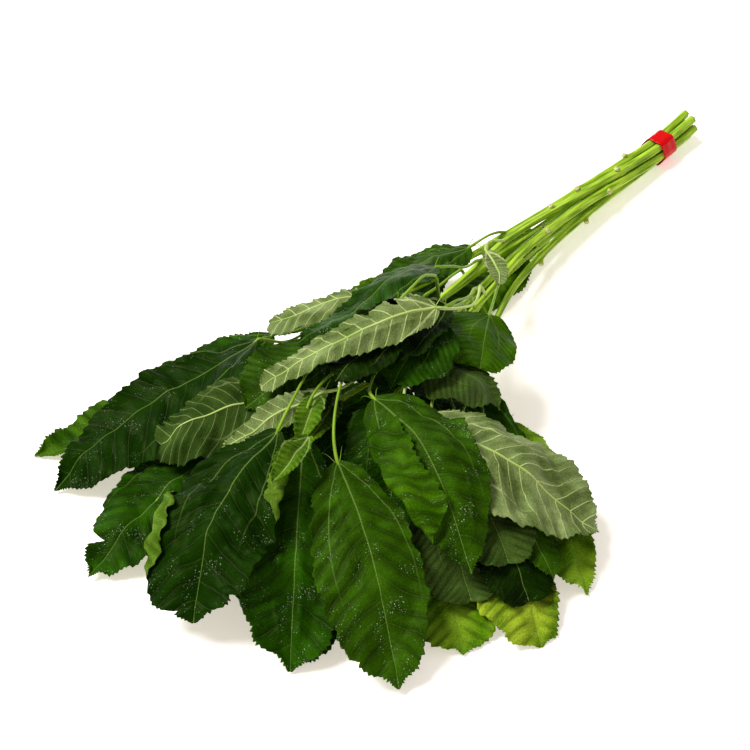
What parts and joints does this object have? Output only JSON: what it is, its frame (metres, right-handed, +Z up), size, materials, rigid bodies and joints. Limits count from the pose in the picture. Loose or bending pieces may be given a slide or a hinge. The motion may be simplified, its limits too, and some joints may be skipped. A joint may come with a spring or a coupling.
{
  "type": "bunch of jute leaves",
  "caption": "Bunch of jute mallow greens lying down: cut stems tied near their butts with a red tape, with broad toothed leaves fanned out in a loose heap.",
  "frame": {"origin": "middle of the bunch's bounding box, on the surface that it lies on", "axes": "+X along the stems towards their cut ends, +Z up, +Y to the left when looking along +X"},
  "size_m": [0.4692, 0.2658, 0.0763],
  "materials": {
    "stem": "fresh green plant stem, smooth and slightly waxy",
    "leaf_upper": "fresh leaf blade with its upper side up, semi-gloss and veined",
    "leaf_underside": "fresh leaf blade with its pale matt underside up, with raised veins",
    "tape": "glossy red plastic tape"
  },
  "bodies": {
    "root": {"stem_1": "stem", "stem_2": "stem", "stem_3": "stem", "stem_4": "stem", "stem_5": "stem", "stem_6": "stem", "stem_7": "stem", "band": "tape", "leaf_centre_under": "leaf_upper", "leaf_far_left": "leaf_upper", "leaf_lower_left": "leaf_upper", "leaf_front_low": "leaf_upper", "leaf_front_under": "leaf_upper", "leaf_front_right_tip": "leaf_upper", "leaf_right_tip": "leaf_upper", "leaf_right_edge": "leaf_upper", "leaf_under_stems": "leaf_upper", "leaf_back_low": "leaf_upper", "leaf_back_upper": "leaf_upper", "leaf_back_fill": "leaf_upper", "leaf_left_low": "leaf_upper", "leaf_centre_low": "leaf_upper", "leaf_right_low": "leaf_upper", "leaf_centre_back": "leaf_upper", "leaf_left_upper": "leaf_upper", "leaf_left_main": "leaf_upper", "leaf_left_folded": "leaf_underside", "leaf_left_grey": "leaf_upper", "leaf_left_narrow": "leaf_underside", "leaf_front_left_inner": "leaf_upper", "leaf_front_left": "leaf_upper", "leaf_front_right_inner": "leaf_upper", "leaf_right_dark": "leaf_upper", "leaf_right_thin": "leaf_upper", "leaf_right_grey": "leaf_upper", "leaf_front_centre": "leaf_upper", "leaf_right_under": "leaf_underside", "leaf_front_right": "leaf_upper", "leaf_centre_grey": "leaf_upper", "leaf_right_stalked": "leaf_upper", "leaf_centre_right": "leaf_upper", "leaf_centre_dark": "leaf_upper", "leaf_back_under": "leaf_underside", "leaf_back_dark": "leaf_upper", "leaf_centre_top": "leaf_upper", "leaf_back_folded": "leaf_underside", "leaf_on_stems": "leaf_underside"}
  },
  "joints": []
}
